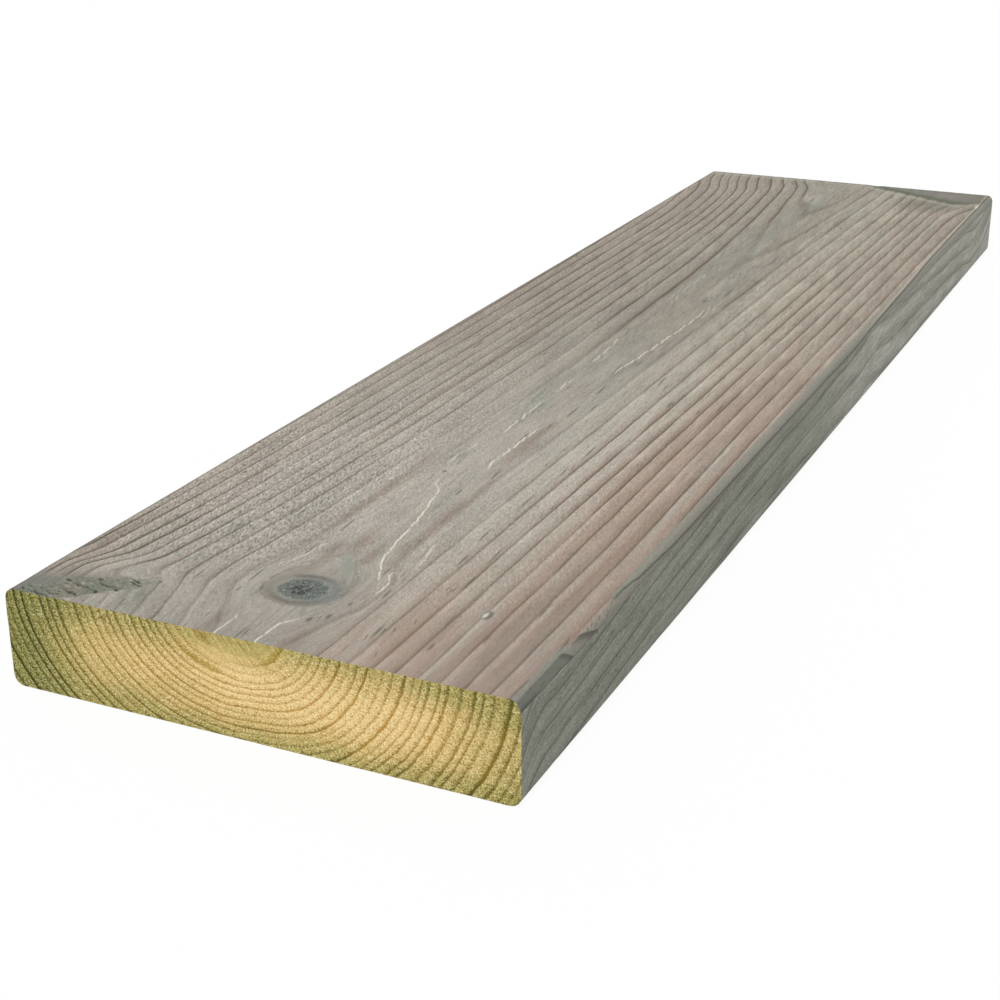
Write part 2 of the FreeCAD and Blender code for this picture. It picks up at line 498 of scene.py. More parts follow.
    # smooth along the board, with crisp edges round the sawn ends
    bend = tree.node("GeometryNodeInputMeshEdgeAngle")
    facing = tree.node("ShaderNodeSeparateXYZ", None, {0: tree.node("GeometryNodeInputNormal")})
    shaped = tree.node("GeometryNodeSetShadeSmooth", {"domain": "FACE"}, {
        "Geometry": shaped, "Shade Smooth": True})
    shaped = tree.node("GeometryNodeSetShadeSmooth", {"domain": "EDGE"}, {
        "Geometry": shaped, "Selection": above(bend, math.radians(50)), "Shade Smooth": False})
    shaped = tree.node("GeometryNodeSetMaterial", None, {
        "Geometry": shaped, "Material": given["Faces"]})
    shaped = tree.node("GeometryNodeSetMaterial", None, {
        "Geometry": shaped, "Selection": above(abs(facing), 0.6), "Material": given["Ends"]})
    shaped = tree.node("GeometryNodeRealizeInstances", None, {"Geometry": shaped})
    group.links.new(shaped.socket, group.nodes.new("NodeGroupOutput").inputs["Geometry"])
    return group


def makeBoard(faces, ends):
    group = buildSkinTree()
    low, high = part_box("board")
    piece = bpy.data.objects.new("boardSkin", bpy.data.meshes.new("boardSkin"))
    bpy.context.scene.collection.objects.link(piece)
    modifier = piece.modifiers.new("skin", "NODES")
    modifier.node_group = group
    values = {"Length": (high.x - low.x) / mm, "Width": (high.y - low.y) / mm,
              "Thickness": (high.z - low.z) / mm, "Faces": faces, "Ends": ends, **boardSkin}
    for item in group.interface.items_tree:
        if item.in_out == "INPUT":
            modifier[item.identifier] = values[item.name]
    view = bpy.context.evaluated_depsgraph_get()
    mesh = bpy.data.meshes.new_from_object(
        piece.evaluated_get(view), preserve_all_data_layers=True, depsgraph=view)
    piece.modifiers.clear()
    piece.data = mesh
    mesh.materials.pop(index=0)
    print("board skin:", len(mesh.vertices), "points,", len(mesh.polygons), "faces,",
          list(mesh.materials))
    return piece


def tone(red, green, blue):
    # a colour written as it looks on screen, 0 to 255, as Blender's own scene values
    def linear(value):
        value /= 255
        return value / 12.92 if value <= 0.04045 else ((value + 0.055) / 1.055) ** 2.4
    return (linear(red), linear(green), linear(blue), 1)


def tinted(colour, other, share, how="MIX"):
    return share.tree.node("ShaderNodeMix", {"data_type": "RGBA", "blend_type": how}, {
        0: share, 6: colour, 7: other}, 2)


def blend2(colour, other, share):
    return tinted(colour, other, share)


def shaded(colour, factor):
    # the colour times a number
    return factor.tree.node("ShaderNodeVectorMath", {"operation": "SCALE"}, {
        0: colour, "Scale": factor})


def newMaterial(name):
    material = bpy.data.materials.new(name)
    material.use_nodes = True
    material.node_tree.nodes.clear()
    return material, Tree(material.node_tree)


def places(tree):
    # x, y and z of the shaded point in millimetres, x from the near end
    at = tree.node("ShaderNodeTexCoord", output=3)
    x, y, z = (tree.node("ShaderNodeSeparateXYZ", None, {0: at}, i) for i in range(3))
    return x / mm - nearEnd, y / mm, z / mm


def stored(tree, name):
    return tree.node("ShaderNodeAttribute", {"attribute_name": name}, None, 2)


def finishSurface(tree, colour, roughness, height):
    # height is in millimetres, out of the surface
    bump = tree.node("ShaderNodeBump", None, {"Strength": 1.0, "Distance": mm, "Height": height})
    surface = tree.node("ShaderNodeBsdfPrincipled", None, {
        "Base Color": colour, "Roughness": roughness, "Normal": bump,
        "Specular IOR Level": 0.3, "IOR": 1.45})
    output = tree.nodeTree.nodes.new("ShaderNodeOutputMaterial")
    tree.nodeTree.links.new(surface.socket, output.inputs["Surface"])


def tones(**colours):
    return {name: tone(*colour) for name, colour in colours.items()}


shade = tones(
    pale=(169, 163, 152), farPale=(159, 153, 138), moss=(150, 153, 138), pinkNear=(161, 143, 129),
    pinkFar=(162, 150, 136), sideGrey=(152, 153, 141), sidePale=(185, 183, 173),
    sideMoss=(146, 149, 132), sideLine=(122, 123, 110), lateWood=(134, 116, 99),
    lineBrown=(96, 80, 65),
    lineGreen=(86, 84, 69), dash=(92, 93, 80), greenStain=(118, 128, 113),
    ridge=(197, 186, 173), liftedFibre=(232, 222, 205), dab=(205, 200, 187),
    knotHeart=(106, 113, 108), knotDark=(44, 49, 45), knotRim=(78, 84, 78), knotRing=(156, 157, 148),
    knotShadow=(104, 100, 90), halo=(136, 132, 119), knotStain=(114, 121, 117), tail=(140, 145, 134),
    tipBrown=(143, 131, 117), outline=(112, 107, 93),
    spikeGrey=(106, 107, 100), spikeGreen=(110, 116, 98), tear=(40, 46, 32),
    stripGrey=(120, 122, 112), stripDark=(92, 94, 85), chipShade=(86, 84, 76),
    tornPale=(170, 160, 150), bandGrey=(140, 140, 130), highlight=(186, 180, 170),
    collarGreen=(80, 87, 66), collarPale=(158, 158, 143), pastCollar=(112, 111, 101),
    collarPurple=(126, 119, 115),
    cornerBlue=(112, 119, 111), cornerShade=(104, 104, 88))

# how pale the walking face is along the board: left of the middle, and right of it
brightness = {
    "left": [(0, 0.83), (30, 0.93), (90, 0.985), (180, 0.945), (260, 0.83), (330, 0.8),
             (430, 0.81), (560, 0.84)],
    "right": [(0, 0.97), (60, 1.01), (150, 1.05), (250, 1.01), (330, 0.965), (430, 0.94),
              (560, 0.91)],
    "across": [(-72, 0.95), (-55, 0.95), (-46, 1.0), (-28, 1.055), (-16, 0.99), (0, 0.965),
               (15, 0.965), (30, 1.0), (70, 1.0)],
}

# Small marks of the walking face: x, y, reach along, reach across.
marks = {
    "dashes": [(17.5, -26.4, 6, 0.7), (64, -26.8, 6, 0.5), (81, -25, 7, 0.5), (70, -33.4, 9, 0.45),
               (107, -25.6, 10, 0.5), (133, -26.1, 6, 0.5), (152, -26.8, 8, 0.5),
               (123, -8.6, 6, 0.6), (182, -8.0, 6, 0.6), (225, -23.4, 7, 0.6),
               (219, -27, 6, 0.5), (203, -34.2, 5, 0.7), (74, -51.9, 12, 0.5), (52, -34.5, 7, 0.5),
               (120, -35, 7, 0.5), (45, -58.6, 8, 0.5), (15.5, -42, 3, 0.6), (25, -52.2, 4, 0.5),
               (30, -39.8, 5, 0.4), (206, -50.2, 7, 0.5), (33, 17.7, 7, 0.45), (72, 12.5, 6, 0.5),
               (74, 28.8, 4, 0.5), (119, 6.3, 1.5, 0.9), (94, 60.1, 2, 0.7), (153, 58, 7, 0.6),
               (148, 54.3, 6, 0.7), (325, -4.6, 4, 0.9), (168, -63.6, 4, 0.8), (3, 3.4, 5, 0.5),
               (4, 2.3, 3, 0.4), (16.2, -8.0, 2.2, 1), (19.7, -11.6, 2.4, 0.9),
               (156, -3.1, 5, 0.5), (168, -6.6, 5, 0.5), (207, -8.2, 8, 0.6), (190, -12.6, 6, 0.5),
               (232, -4.6, 8, 0.5), (241, -9.4, 6, 0.5), (340, -9.5, 14, 0.7),
               (395, -11.5, 12, 0.7), (452, -9.8, 9, 0.8), (515, 5.5, 9, 0.8), (370, -36.5, 8, 0.7),
               (28, -13, 2, 0.6), (53, 13.3, 6, 0.5), (37, -18.4, 5, 0.6), (24, 17.3, 2.4, 0.5),
               (49, -12, 4, 0.5), (151, -46.4, 3, 0.7), (200, -45, 4, 0.5), (185, -8, 7, 0.5),
               (320, 13.2, 9, 0.9), (237, 51.8, 8, 1.2), (106, -4.9, 4, 0.5), (27, 31.5, 5, 0.4)],
    "stains": [(57, 37.8, 10, 4.4), (36, 38.5, 9, 3.0), (178, 4.5, 26, 4.5), (190, 8.5, 34, 3.4),
               (132, 7.5, 14, 3.4), (18, -10, 5, 3.4), (435, 5.5, 24, 4.2), (436, -46.5, 24, 1.6),
               (338, 36, 20, 4), (228, -6.5, 26, 2.6), (31, -64, 14, 1.8), (505, 2, 22, 6),
               (300, 12.6, 90, 2.6), (100, -3.4, 24, 1.8), (8, 38, 12, 7), (25, 12, 8, 4)],
    "browns": [(215, 39.4, 130, 2.6), (36, 66, 30, 4), (300, 11.8, 130, 2.2), (64, 2.8, 14, 4.4),
               (54, 7.6, 12, 3), (55, -3.4, 14, 2.8), (85, -10.5, 50, 4), (150, -7, 40, 3),
               (95, 15.5, 60, 2.6), (4, 13, 14, 3), (4, -10, 16, 5), (60, -62, 90, 2.6),
               (30, -55.5, 60, 2.4), (30, -40.6, 60, 1.8), (20, -34.4, 40, 1.4)],
    "sideDashes": [(11.5, 14, 2.2, 0.5), (22, 17.7, 2, 0.4), (55, 20, 4, 0.5), (65, 17.5, 7, 0.4)],
    "bump": (36.3, -46.6, 2.4, 1.2),
    "slant": 0.05,
}


def surfaceTexture(tree, onFace, onGrain):
    # unevenness of several sizes; the dabs of raised grain slant across the lines
    return {
        "dabs": tree.mottle(onFace, (1.9, 0.55), 8.8, 3, 0.6, turn=-0.36),
        "dabsFar": tree.mottle(onFace, (9, 1.3), 2.6, 2, 0.6, turn=-0.14),
        "streak": tree.mottle(onGrain, (20, 0.7), 3.3, 3, 0.65),
        "grit": tree.mottle(onFace, (0.9, 0.5), 6.6, 2, 0.7),
        "cloud": tree.mottle(onGrain, (28, 4.5), 1.7, 3, 0.55),
    }


def lineShading(tree, colour, ring, grain, x, over, isTop):
    # returns the shaded colour and the height of the lines
    phase, line = linePhase(ring, grain, x, isTop)
    byHalf = follow(over, [(-73, 0), (-71.2, 0.1), (-69.5, 0.7), (-60, 0.9), (-42, 0.95),
                           (-30, 0.75), (-20, 0.55), (-9, 0.25), (5, 0.2), (14, 0.2), (20, 0.3),
                           (27, 0.75), (42, 0.85), (69, 0.85), (70.5, 0.2)])
    mood = tree.noise(x / 34, line * 3.7, 0.7, 3, 0.6)
    strength = smooth(mood, 0.3, 0.58) * 0.6 + 0.4
    outer = greater(smooth(x, 230, 300) * smooth(over, 8, 13) * 0.95,
                    smooth(x, 280, 330) * smooth(over, -7, -11) * 0.6)
    byHalf = greater(byHalf, greater(outer, smooth(x, 380, 430) * smooth(over, 26, 10) * 0.36))
    strength = strength * blend(0.8, byHalf, isTop)
    strength *= 1 + smooth(x, 95, 35) * smooth(over, 38, 48) * isTop * 0.7
    strength *= 1 - smooth(x, 15, 8) * smooth(over - follow(x, spike["low"]), 0, 3) * isTop
    strength *= 1 - smooth(x, 31, 23) * smooth(over, 35, 40) * smooth(over, 55, 51) * isTop * 0.7
    along = blend(follow(x, [(0, 1), (240, 1), (340, 1.3), (560, 1.3)]),
                  follow(x, [(0, 0.85), (60, 0.82), (110, 1.15), (150, 1.4), (190, 1.35), (240, 1.1),
                             (330, 1), (430, 0.9), (500, 0.95), (530, 1.4)]),
                  smooth(over, -14, -30))
    strength *= blend(1, along, isTop)
    bold = greater(smooth(x, 95, 35) * smooth(over, 38, 48), smooth(x, 200, 340) * 0.6) * isTop
    core = smooth(phase, -0.04, 0.005) * smooth(phase, bold * 0.1 + 0.16, bold * 0.05 + 0.04)
    late = smooth(phase, -0.03, 0.03) * smooth(phase, 0.6, 0.06)
    ridge = smooth(phase, 0.6, 0.9) * smooth(phase, 0.962, 0.93)
    brown = smooth(over, -15, -42) * isTop
    amount = blend(blend(0.75, 0.6, isTop), 1, brown) * strength
    colour = tinted(colour, blend2(shade["sideLine"], shade["lateWood"], isTop),
                    late * amount * 0.75)
    lineTone = tinted(shade["lineGreen"], shade["lineBrown"], greater(brown, smooth(x, 200, 320)))
    crisp = blend(blend(0.68, 0.4, smooth(x, 120, 300)), 0.8, isTop)
    colour = tinted(colour, lineTone, lesser(core * strength * crisp, 0.9))
    # the pale ridge below each line is partly the wood's own tone, partly painted highlight of the raised ridge
    light = smooth(mood, 0.6, 0.4) * blend(0.3, 0.36, brown) * isTop
    colour = tinted(colour, shade["ridge"], ridge * light)
    crease = (ridge * 0.016 + late * 0.014 - core * 0.06) * smooth(abs(grain), 5, 24)
    return colour, crease


def knotShading(tree, colour, at, x, across, isTop):
    reach = knotReach(x, across)
    rough = tree.mottle(at, (2.4, 2.4), 2.2, 3, 0.65)
    speckle = tree.mottle(at, (0.75, 0.75), 7.7, 3, 0.75)
    inside, window = insideTeardrop(x, across)
    inside += rough * 1.6
    window = window * isTop
    zone = smooth(inside, -0.6, 1.5) * window
    colour = tinted(colour, shade["halo"], zone * smooth(x, 50, 24) * 0.9)
    brown = patch(at, (43, 7.3), (9, 4.2), 0.1) * zone
    colour = tinted(colour, shade["tipBrown"], brown * 0.7)
    slant = tree.point(x + rough * 4, across - x * 0.52 + rough * 2)
    tail = patch(slant, (48.5, -26), (10, 3), 0.1) * zone
    stripes = tree.mottle(at, (4, 0.7), 5.5, 3, turn=-0.29)
    colour = tinted(colour, shade["tail"], tail * (0.9 + stripes * 1.2))
    striped = patch(at, (41, -5), (8, 3.4), 0.1) * smooth(inside, -0.5, 1) * window
    colour = tinted(colour, shade["knotShadow"], smooth(stripes, 0.02, 0.14) * striped * 0.8)
    colour = tinted(colour, shade["knotRing"], smooth(stripes, -0.02, -0.14) * striped * 0.5)
    edge = smooth(abs(inside), 0.9, 0.1) * window
    fade = (smooth(x, 50, 26) * 0.65 + 0.2) * smooth(rough, -0.16, 0.0)
    colour = tinted(colour, shade["outline"], edge * fade)

    # rings round the heart, from the outside in, all of them uneven
    reach = reach + rough * 2.4 + speckle * 1.2
    low = smooth(across - x * 0.5, -7, -16) * smooth(x, 43, 35)
    colour = tinted(colour, shade["knotStain"], smooth(reach, 13.5, 8) * low * isTop
                    * (speckle * 6 + 0.8))
    outer = hump(reach, 6.8, 8.8, 11) * isTop
    side = patch(at, (39.5, 3.2), (6, 8.5), 0.3) * 0.9 + smooth(x, 29, 22) * 0.75
    colour = tinted(colour, shade["knotShadow"], outer * lesser(side + 0.2, 1) * (speckle * 2 + 0.9))
    broken = smooth(rough - speckle, -0.12, 0.14)
    colour = tinted(colour, shade["knotRing"], hump(reach, 5.9, 6.8, 7.6) * isTop * broken * 0.7)
    heart = smooth(reach, knot["core"] + 0.9, knot["core"] - 0.7) * isTop
    mottle = tree.mottle(at, (1.7, 1.3), 4.7, 3, 0.7)
    fine = tree.mottle(at, (0.9, 0.6), 9.2, 2, 0.7)
    turn = tree.maths("ARCTAN2", across - knot["y"], x - knot["x"])
    rays = tree.noise(turn * 2.8, reach / 5, 1.2, 2) - 0.5
    centre = patch(at, (30.3, 2.6), (4.4, 3.8), 0.2)
    dim = patch(at, (35, 3.5), (3.6, 6), 0.1) * 0.6
    heartTone = tinted(shade["knotHeart"], shade["knotRim"],
                       greater(dim, smooth(mottle + rays * 0.6, -0.12, 0.16) * 0.8))
    heartTone = tinted(heartTone, shade["knotRing"], smooth(fine - rays * 0.3, 0.05, 0.18) * 0.5)
    heartTone = tinted(heartTone, shade["knotDark"], smooth(fine + rays * 0.4, -0.02, -0.15) * 0.8)
    crack = smooth(mottle + rays * 0.8 + centre * 0.16, 0.05, 0.11) * smooth(centre, 0.1, 0.5)
    heartTone = tinted(heartTone, shade["knotDark"], crack)
    heartTone = tinted(heartTone, shade["dab"], smooth(fine, 0.11, 0.18) * centre * 0.6)
    colour = tinted(colour, heartTone, heart * 0.96)
    return colour, (fine + mottle) * heart * 0.22


def spikeShading(tree, colour, at, x, across, isTop):
    haze = spikeHaze(x, across) * isTop
    area = spikeArea(x, across) * isTop
    rough = tree.mottle(at, (0.7, 1.9), 5.8, 3, 0.7, turn=0.29)
    soft = tree.mottle(at, (9, 6), 2.8)
    blue = smooth(across, 58, 63) * smooth(x, 14, 9)
    colour = tinted(colour, tinted(shade["tipBrown"], shade["spikeGrey"],
                                   greater(smooth(soft, -0.1, 0.1), blue)), area * 0.8)
    colour = tinted(colour, shade["spikeGreen"], haze * (rough * 2.2 + 0.6))
    dense = smooth(x, 7, 1) * 0.5 + 0.5
    colour = tinted(colour, shade["tear"], haze * smooth(rough, 0.03, 0.16) * dense)
    colour = tinted(colour, shade["dab"], haze * smooth(rough, -0.08, -0.18) * 0.5)
    tears = spikeTears(x, across) * isTop
    colour = tinted(colour, shade["tear"], tears * 0.9)
    return colour, rough * haze * -0.3


def cornerShading(tree, colour, at, x, across, isTop):
    # the far right corner, from its near side to the sawn end
    past = pastCollar(x, across)
    rough = tree.mottle(at, (6, 1.4), 3.7, 3, 0.6)
    past += rough * 3
    stripes = smooth(tree.mottle(at, (9, 0.9), 8.2), -0.06, 0.06)
    shadowed = patch(at, (530, -50), (26, 24), 0.2) * (stripes * 0.45 + 0.35)
    colour = tinted(colour, shade["cornerShade"], shadowed * isTop)
    colour = tinted(colour, shade["cornerBlue"], patch(at, (528.5, -48.5), (8, 4.5)) * isTop * 0.6)
    colour = tinted(colour, shade["collarPale"], hump(past, -10, -6.5, -4) * 0.6 * isTop)
    colour = tinted(colour, shade["pastCollar"], smooth(past, -1, 2) * 0.9 * isTop)
    colour = tinted(colour, shade["collarGreen"], hump(past, -5, 0, 6) * isTop)
    purple = patch(at, (551, -52), (7, 9)) * smooth(past, 3, 8)
    colour = tinted(colour, shade["collarPurple"], purple * isTop * 0.8)
    low = smooth(across, -60, -64) * smooth(x, 536, 541)
    colour = tinted(colour, shade["outline"], low * (stripes * 0.6 + 0.2) * isTop)
    chip = patch(at, (532.5, -69.9), (5.5, 1.1)) * isTop
    return tinted(colour, shade["liftedFibre"], chip * 0.8), rough * smooth(past, -6, 0) * 0.3


def arrisShading(tree, colour, at, x, across, z):
    # round the right arris; turn is the distance past its top edge
    onRound = smooth(z, 24.7, 25.2)
    rough = tree.mottle(at, (3.5, 0.8), 4.1, 3, 0.65)
    fine = tree.mottle(at, (1.1, 0.5), 7.3, 2, 0.6)
    turn = -across - 69.5
    ragged = turn + rough * 1.3
    near = smooth(turn, -1, 0) * onRound

    # grey-green band below the brown of the walking face: partly the arris's own weathered grey, partly painted
    # shade of the round
    bandTop = follow(x, [(0, -0.2), (26, 0), (30, 1.5), (52, 2.0), (60, 0.8), (80, 0.5), (560, 1)])
    band = smooth(ragged - bandTop, -0.2, 0.5) * onRound
    colour = tinted(colour, shade["bandGrey"], band * 0.85)
    colour = shaded(colour, 1 + fine * band * 0.7)
    streak = hump(ragged - follow(x, [(0, 0), (10, 0.1), (26, 0.9), (36, -0.2)]), -0.5, 0, 0.5)
    streak = streak * greater(smooth(x, 12, 8), hump(x, 24, 30, 37)) * near
    colour = tinted(colour, shade["lineBrown"], streak * 0.6)
    dark = [(0, 5.6), (50, 5.6), (60, 2.0), (75, 3), (90, 3.5), (110, 4), (280, 4), (330, 3),
            (400, 2), (430, 1.3), (535, 1.2), (560, 1.2)]
    off = turn - follow(x, dark) + rough * 0.5
    shows = near * smooth(x, 56, 62) * smooth(off, 0.45, 0)
    colour = tinted(colour, shade["lineGreen"], shows * smooth(off, -0.7, -0.1) * 0.8)
    lit = hump(off, -1.7, -1.0, -0.5) * near * smooth(x, 300, 345)
    colour = tinted(colour, shade["highlight"], lit * 0.6)

    # torn cross-grain bits, the torn strip and the chip
    cross = tree.mottle(at, (0.5, 2.2), 6.3, turn=0.98)
    deep = 37.5 + (turn - 1.9) * 3.1
    past = x - deep + rough * 2
    bits = smooth(past, -1, 1.5) * smooth(x, 66, 50) * hump(turn, 1.4, 2.4, 4.8) * onRound
    colour = tinted(colour, shade["tornPale"], bits * smooth(cross, -0.02, 0.12) * 0.85)
    colour = tinted(colour, shade["chipShade"], bits * smooth(cross, -0.06, -0.18) * 0.6)
    low = smooth(turn + rough * 0.8, 1.4, 2.0) * onRound
    wedge = smooth(past, -9, -0.5) * smooth(past, 0.6, -0.2) * low
    colour = tinted(colour, shade["chipShade"], wedge * 0.85)
    end = x - turn * 1.3
    strip = smooth(end, 24.6, 23.6) * low
    # the strip darkens in rough patches and low down by the near end; towards its far end the dark is painted
    # shadow of the step where the tear stops
    stripTone = tinted(shade["stripGrey"], shade["stripDark"], greater(
        smooth(rough, 0.0, 0.2) * 0.7, greater(smooth(end, 20, 24), smooth(turn, 3.4, 4.4)
                                           * smooth(x, 14, 6))))
    colour = tinted(colour, stripTone, strip)
    edge = hump(abs(across), 69.4, 70.3, 71.6) * smooth(across, 60, 69)
    colour = tinted(colour, shade["lineBrown"], edge * (rough * 2 + 0.6))
    return colour, cross * bits * 0.4 + rough * strip * 0.25


def weatheredFaces():
    material, tree = newMaterial("weatheredFaces")
    x, y, z = places(tree)
    across = stored(tree, "across")
    flow = stored(tree, "topFlow")
    topRing, sideRing, underRing = (stored(tree, n) for n in ("topRing", "sideRing", "underRing"))
    isTop = smooth(z, 24.85, 25.1)
    isUnder = smooth(z, 1.1, 0.5)
    ring = blend(blend(sideRing, underRing, isUnder), topRing, isTop)
    over = blend(blend(z, y, isUnder), across, isTop)
    grain = blend(blend(sideRing * 7.5, y * 0.9, isUnder), flow, isTop)
    onFace, onGrain, onTop = tree.point(x, over), tree.point(x, grain), tree.point(x, across)
    texture = surfaceTexture(tree, onFace, onGrain)

    # base colour: pale, mossy and brown parts
    cloud = tree.mottle(onGrain, (110, 16), 1.1, 3, 0.55)
    band = tree.mottle(onGrain, (190, 3.4), 5.2)
    moss = smooth(cloud + band * 0.5, -0.08, 0.16)
    far = smooth(x, 120, 330)
    colour = tinted(tinted(shade["pale"], shade["farPale"], far), shade["moss"],
                    moss * blend(0.35, 0.55, far))
    brownAt = follow(across, [(-80, 1), (-55, 1), (-42, 0.5), (-30, 0.18), (-10, 0.05),
                              (40, 0.05), (60, 0.3), (80, 0.45)])
    nearBrown = smooth(x, 130, 0) * smooth(across, -4, -32)
    farBrown = far * smooth(across, 10, 55) * 0.8
    patchy = smooth(tree.mottle(onGrain, (120, 6), 9.4), -0.25, 0.05) * 0.6 + 0.4
    brown = greater(greater(brownAt, nearBrown), farBrown) * patchy * isTop
    colour = tinted(colour, tinted(shade["pinkNear"], shade["pinkFar"], far), brown)
    # the sides grow paler towards the far end: painted sheen of the glancing view
    sideTone = tinted(shade["sideGrey"], shade["sidePale"], smooth(x, 230, 330))
    sideTone = tinted(sideTone, shade["sideMoss"], moss * 0.4)
    colour = tinted(sideTone, colour, isTop)

    slanted = tree.point(x, across - x * marks["slant"])
    def leaning(places):
        return [(px, py - px * marks["slant"], reachX, reachY) for px, py, reachX, reachY in places]
    flat = tree.point(x, across + texture["cloud"] * 4)
    colour = tinted(colour, shade["lateWood"], patches(flat, marks["browns"], 0.1) * isTop * 0.55)
    stain = patches(flat, marks["stains"], 0.1)
    stain = stain * smooth(texture["dabsFar"] + texture["streak"] * 0.5, -0.14, 0.14)
    colour = tinted(colour, shade["greenStain"], stain * isTop * 0.75)

    colour, height = lineShading(tree, colour, ring, grain, x, over, isTop)

    # texture: strong dabs near the left edge, calmer wood round the knot. The dabs' light and dark are partly the
    # wood's own tone, partly painted highlight and shade of the raised grain.
    calm = 1 - smooth(knotReach(x, across), 30, 12) * 0.6
    dabField = blend(0.35, follow(over, [(-70, 0.3), (-30, 0.5), (0, 0.4), (15, 0.7), (30, 1.1),
                                         (70, 1.1)]) * calm, isTop)
    dabField = dabField * (smooth(x, 12, 55) * 0.7 + 0.3) * blend(1.35, 0.7, smooth(x, 70, 260))
    dabs = texture["dabs"]
    dabHighlights, dabShade = smooth(dabs, 0.04, 0.2), smooth(dabs, -0.04, -0.2)
    tint = 1 + dabs * dabField * 1.0 + (dabHighlights * 0.3 - dabShade * 0.22) * dabField
    quiet = smooth(across, -18, -34) * smooth(x, 130, 70) * 0.5
    aside = blend(blend(2.0, 1.5, far), 1.1 - quiet, isTop)
    tint += texture["dabsFar"] * blend(0.15, 0.75, far) + texture["streak"] * aside * 0.6
    tint += (texture["grit"] * 0.8 + texture["cloud"] * 0.45) * aside
    halves = blend(follow(x, brightness["right"]), follow(x, brightness["left"]),
                   smooth(across, -28, -8)) * follow(across, brightness["across"])
    colour = shaded(colour, tint * blend(1, halves, isTop))
    height += dabs * 0.22 * dabField + texture["dabsFar"] * 0.12
    height += texture["streak"] * 0.1 + texture["grit"] * 0.06

    # dashes where the grain has opened, named ones and scattered ones
    dashed = patches(slanted, leaning(marks["dashes"]), 0.25) * isTop
    dashed = dashed * smooth(texture["grit"] + texture["streak"], -0.26, -0.02)
    scatter = tree.mottle(onFace, (6.5, 0.55), 7.1, 1, turn=-0.11)
    field = smooth(tree.mottle(onFace, (40, 9), 2.9), -0.08, 0.12) * blend(0.25, 1, isTop)
    field = field * greater(smooth(over, -46, -34), smooth(over, 8, 0) * 0.6)
    onSide = patches(onFace, marks["sideDashes"], 0.1) * (1 - isTop) * (1 - isUnder)
    found = greater(greater(dashed, onSide), smooth(scatter + far * 0.04, 0.17, 0.24) * field)
    colour = tinted(colour, shade["dash"], found * 0.85)

    colour, raised = knotShading(tree, colour, onTop, x, across, isTop)
    height += raised
    colour, raised = spikeShading(tree, colour, onTop, x, across, isTop)
    height += raised
    colour, raised = cornerShading(tree, colour, onTop, x, across, isTop)
    height += raised
    colour, raised = arrisShading(tree, colour, onTop, x, across, z)
    height += raised

    px, py, reachX, reachY = marks["bump"]
    bumpRim = patch(onTop, (px, py - 0.3), (reachX * 1.3, reachY * 1.4), 0.6) * isTop
    colour = tinted(colour, shade["dash"], bumpRim * 0.8)
    bumpAt = patch(onTop, (px, py + 0.2), (reachX, reachY * 0.8), 0.3) * isTop
    colour = tinted(colour, shade["dab"], bumpAt)
    lifted = liftedFibres(x, across) * isTop
    colour = tinted(colour, shade["liftedFibre"], lifted * 0.85)
    height += bumpAt * 0.3
    roughness = 0.72 - lifted * 0.1 + texture["grit"] * 0.2
    finishSurface(tree, colour, roughness, height)
    return material


# Growth rings of the sawn end: distance from the pith and how dark each one is.
sawn = {
    "pith": (3.97, 33.35), "stretch": 1.26, "rightShare": 1.08,
    # the two lists have the same ring in the same place, as far as the rings go right round
    "leftRings": [(6, 0), (9, 0), (12.4, 0.1), (15, 0), (17.7, 0.3), (20.6, 0.5),
                  (23.4, 0.7), (25.5, 0.6), (27.8, 0.7), (30.5, 0.8), (32.4, 0.5), (35.1, 0.8),
                  (37.4, 0.7), (39.7, 0.5), (42.3, 0.8), (44.5, 0.4), (47.1, 0.8), (49.6, 0.3),
                  (52.8, 0.8), (55.4, 0.8), (57.7, 0.8), (60.8, 0.3), (63.7, 1.0), (66.1, 0.9),
                  (68.6, 0.5), (71, 0.4), (73.5, 1.0), (77.3, 0.7), (80, 0.5), (83, 0.5)],
    "rightRings": [(6, 0), (9.5, 0), (13.5, 0), (17, 0.3), (20, 0.2), (23.3, 0.4),
                   (25.4, 0.5), (27.8, 0.6), (30.2, 0.4), (33, 0.8), (35.5, 0.3), (38, 0.6),
                   (40.8, 0.9), (42.9, 0.2), (45.3, 0.4), (48, 0.5), (51.3, 0.9), (53.8, 0.4),
                   (56, 0.6), (58.1, 0.7), (61, 0.7), (63.2, 0.8), (66.8, 0.6), (70.5, 0.8),
                   (72.8, 0.7), (75.6, 0.5), (80.2, 1.0), (83.5, 0.7), (86.7, 0.5),
                   (88.8, 0.4), (91, 0.5), (94, 0.4)],
    # stains along a ring: middle distance, its reach, middle angle from straight down, its reach
    "stains": [(20.2, 1.8, 32, 34), (12.6, 1.5, 46, 24), (16.4, 1.5, -52, 28)],
    # brown bruises by the top: y, z and their reaches
    "bruises": [(41.5, 25.4, 4.2, 2.4), (49.3, 24, 1.8, 3), (12.5, 26.2, 3.4, 1.7)],
}
cut = tones(
    heart=(252, 222, 159), gold=(229, 200, 131), olive=(189, 174, 103), deepOlive=(149, 146, 78),
    heartDeep=(182, 130, 26), goldDeep=(144, 110, 16), oliveDeep=(94, 86, 6), darkDeep=(54, 56, 0),
    fleck=(255, 240, 190), stain=(184, 154, 62), bruise=(120, 88, 44))

# how far the end has gone from pale to olive, across it and up it
greening = {
    "across": [(-72, 0.5), (-65, 0.38), (-50, 0.12), (-35, 0.03), (-25, 0.0), (0, 0), (20, 0.12),
               (35, 0.22), (45, 0.34), (55, 0.62), (65, 0.98), (72, 1.06)],
    "up": [(0, 0.66), (3.5, 0.45), (9, 0.14), (15, 0), (21, 0.2), (26, 0.5), (28, 0.56)],
}


